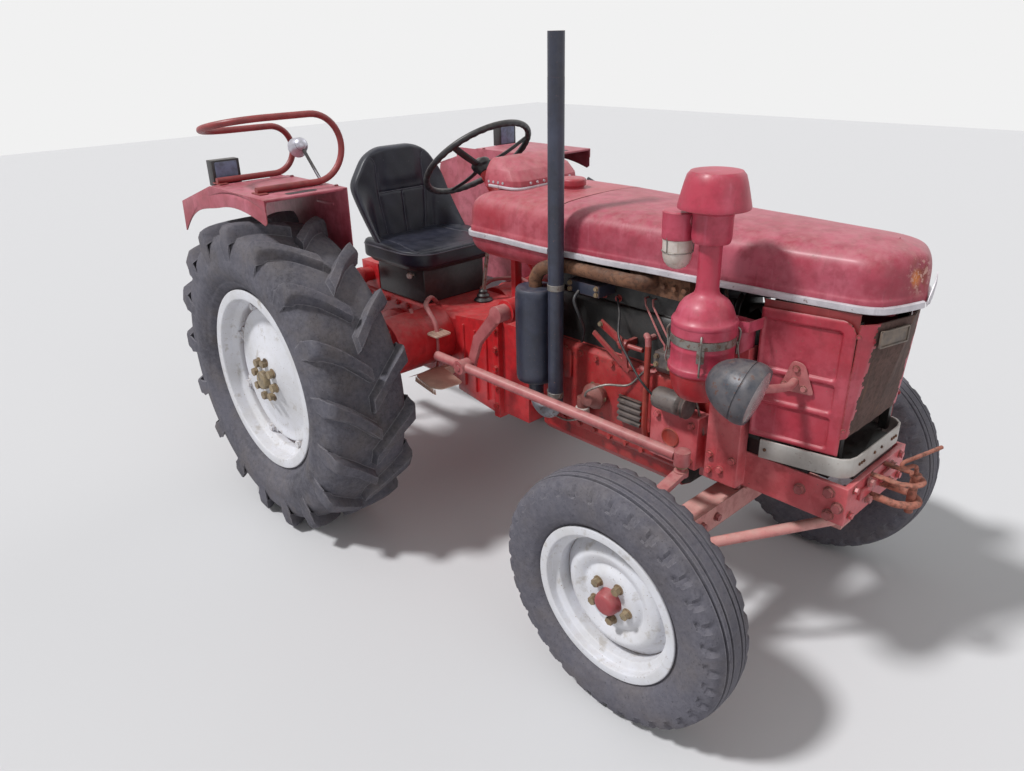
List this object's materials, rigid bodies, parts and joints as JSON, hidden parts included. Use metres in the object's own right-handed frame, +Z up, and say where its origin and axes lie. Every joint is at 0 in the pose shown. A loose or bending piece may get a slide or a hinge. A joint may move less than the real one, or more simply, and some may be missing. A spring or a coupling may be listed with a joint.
{
  "type": "tractor",
  "caption": "Compact vintage farm tractor with open seat, upright exhaust, mudguards, lugged rear tyres, steering linkage, tilting bonnet and rear linkage",
  "frame": {"origin": "on the ground, in the middle of the overall box", "axes": "+X forward along the tractor, +Y to its left, +Z up"},
  "size_m": [2.769, 1.616, 1.69],
  "materials": {
    "painted_metal_red": "faded gloss",
    "painted_metal_pink": "worn and chalky",
    "cast_engine": "oily, dull",
    "exhaust_paint": "satin",
    "rusty_steel": "rusty",
    "trim_steel": "dull",
    "rim_paint": "dusty",
    "tyre": "dusty",
    "black_trim": "matt",
    "black_paint": "satin",
    "jar": "translucent",
    "shaft_steel": "bare"
  },
  "bodies": {
    "chassis": {"gearbox_housing": "painted_metal_red", "rear_axle_housing": "painted_metal_red", "engine_block": "cast_engine", "engine_fittings": "cast_engine", "exhaust_pipe": "rusty_steel", "silencer": "exhaust_paint", "exhaust_stack": "exhaust_paint", "air_cleaner": "painted_metal_red", "pre_cleaner": "painted_metal_red", "dust_jar": "jar", "radiator": "cast_engine", "side_panels": "painted_metal_red", "grille": "rusty_steel", "bumper_band": "trim_steel", "front_frame": "painted_metal_red", "front_axle": "painted_metal_pink", "fuel_tank": "painted_metal_red", "tank_trim": "trim_steel", "dash_cowl": "painted_metal_red", "steering_box": "painted_metal_red", "seat": "black_trim", "seat_base": "black_paint", "mudguard_right": "painted_metal_red", "mudguard_left": "painted_metal_red", "handrail": "painted_metal_red", "footsteps": "painted_metal_red", "pedals": "painted_metal_red", "headlamps": "black_paint", "rear_lamps": "black_paint", "drawbar": "painted_metal_red", "pto_shaft": "shaft_steel"},
    "bonnet_lid": {"bonnet": "painted_metal_red", "bonnet_trim": "trim_steel"},
    "knuckle_r": {"knuckle_right": "painted_metal_pink"},
    "knuckle_l": {"knuckle_left": "painted_metal_pink"},
    "front_wheel_r": {"front_tyre_right": "tyre", "front_rim_right": "rim_paint"},
    "front_wheel_l": {"front_tyre_left": "tyre", "front_rim_left": "rim_paint"},
    "rear_wheel_r": {"rear_tyre_right": "tyre", "rear_rim_right": "rim_paint"},
    "rear_wheel_l": {"rear_tyre_left": "tyre", "rear_rim_left": "rim_paint"},
    "steering_wheel_body": {"steering_wheel": "black_trim"},
    "drop_arm_body": {"drop_arm": "painted_metal_pink"},
    "drag_link_body": {"drag_link": "painted_metal_pink"},
    "track_rod_body": {"track_rod": "painted_metal_pink"},
    "lift_arms_body": {"lift_arms": "painted_metal_red"},
    "lift_rods_body": {"lift_rods": "painted_metal_red"},
    "lower_links_body": {"lower_links": "painted_metal_red"}
  },
  "joints": [
    {"name": "steer_right", "type": "hinge", "parent": "chassis", "child": "knuckle_r", "pos_m": [0.8895, -0.428, 0.445], "axis": [0, 0, 1], "range_deg": [-35, 35]},
    {"name": "steer_left", "type": "hinge", "parent": "chassis", "child": "knuckle_l", "pos_m": [0.8895, 0.428, 0.445], "axis": [0, 0, 1], "range_deg": [-35, 35]},
    {"name": "track_rod_pivot", "type": "hinge", "parent": "knuckle_r", "child": "track_rod_body", "pos_m": [0.7995, -0.428, 0.362], "axis": [0, 0, 1], "range_deg": [-35, 35]},
    {"name": "drop_arm_pivot", "type": "hinge", "parent": "chassis", "child": "drop_arm_body", "pos_m": [0.1715, -0.292, 0.885], "axis": [0, 1, 0], "range_deg": [-18.5, 18.5]},
    {"name": "drag_link_pivot", "type": "hinge", "parent": "drop_arm_body", "child": "drag_link_body", "pos_m": [0.0395, -0.352, 0.684], "axis": [0, 1, 0], "range_deg": [-15.5, 15.5]},
    {"name": "steering_column", "type": "hinge", "parent": "chassis", "child": "steering_wheel_body", "pos_m": [-0.2565, 0, 1.286], "axis": [-0.6428, 0, 0.766], "range_deg": [-530, 530]},
    {"name": "front_wheel_spin_right", "type": "hinge", "parent": "knuckle_r", "child": "front_wheel_r", "pos_m": [0.8895, -0.563, 0.35467], "axis": [0, 0.9986, 0.0523], "continuous": true},
    {"name": "front_wheel_spin_left", "type": "hinge", "parent": "knuckle_l", "child": "front_wheel_l", "pos_m": [0.8895, 0.563, 0.35467], "axis": [0, 0.9986, -0.0523], "continuous": true},
    {"name": "rear_wheel_spin_right", "type": "hinge", "parent": "chassis", "child": "rear_wheel_r", "pos_m": [-0.6005, -0.647, 0.568], "axis": [0, 1, 0], "continuous": true},
    {"name": "rear_wheel_spin_left", "type": "hinge", "parent": "chassis", "child": "rear_wheel_l", "pos_m": [-0.6005, 0.647, 0.568], "axis": [0, 1, 0], "continuous": true},
    {"name": "bonnet_hinge", "type": "hinge", "parent": "chassis", "child": "bonnet_lid", "pos_m": [1.2495, 0, 1.086], "axis": [0, 1, 0], "range_deg": [0, 50]},
    {"name": "lift", "type": "hinge", "parent": "chassis", "child": "lift_arms_body", "pos_m": [-0.7805, 0, 0.8], "axis": [0, 1, 0], "range_deg": [-15, 40]},
    {"name": "lift_rods_pivot", "type": "hinge", "parent": "lift_arms_body", "child": "lift_rods_body", "pos_m": [-1.0705, 0, 0.74], "axis": [0, 1, 0], "range_deg": [-40.5, 15.5]},
    {"name": "lower_links_pivot", "type": "hinge", "parent": "chassis", "child": "lower_links_body", "pos_m": [-0.7205, 0, 0.43], "axis": [0, 1, 0], "range_deg": [-13, 34]}
  ],
  "couplings": [
    {"joint": "steer_left", "follows": "steer_right", "ratio": 1},
    {"joint": "track_rod_pivot", "follows": "steer_right", "ratio": -1},
    {"joint": "drop_arm_pivot", "follows": "steer_right", "ratio": 0.52},
    {"joint": "drag_link_pivot", "follows": "steer_right", "ratio": -0.4368},
    {"joint": "steering_column", "follows": "steer_right", "ratio": 15},
    {"joint": "lift_rods_pivot", "follows": "lift", "ratio": -1},
    {"joint": "lower_links_pivot", "follows": "lift", "ratio": 0.83}
  ]
}
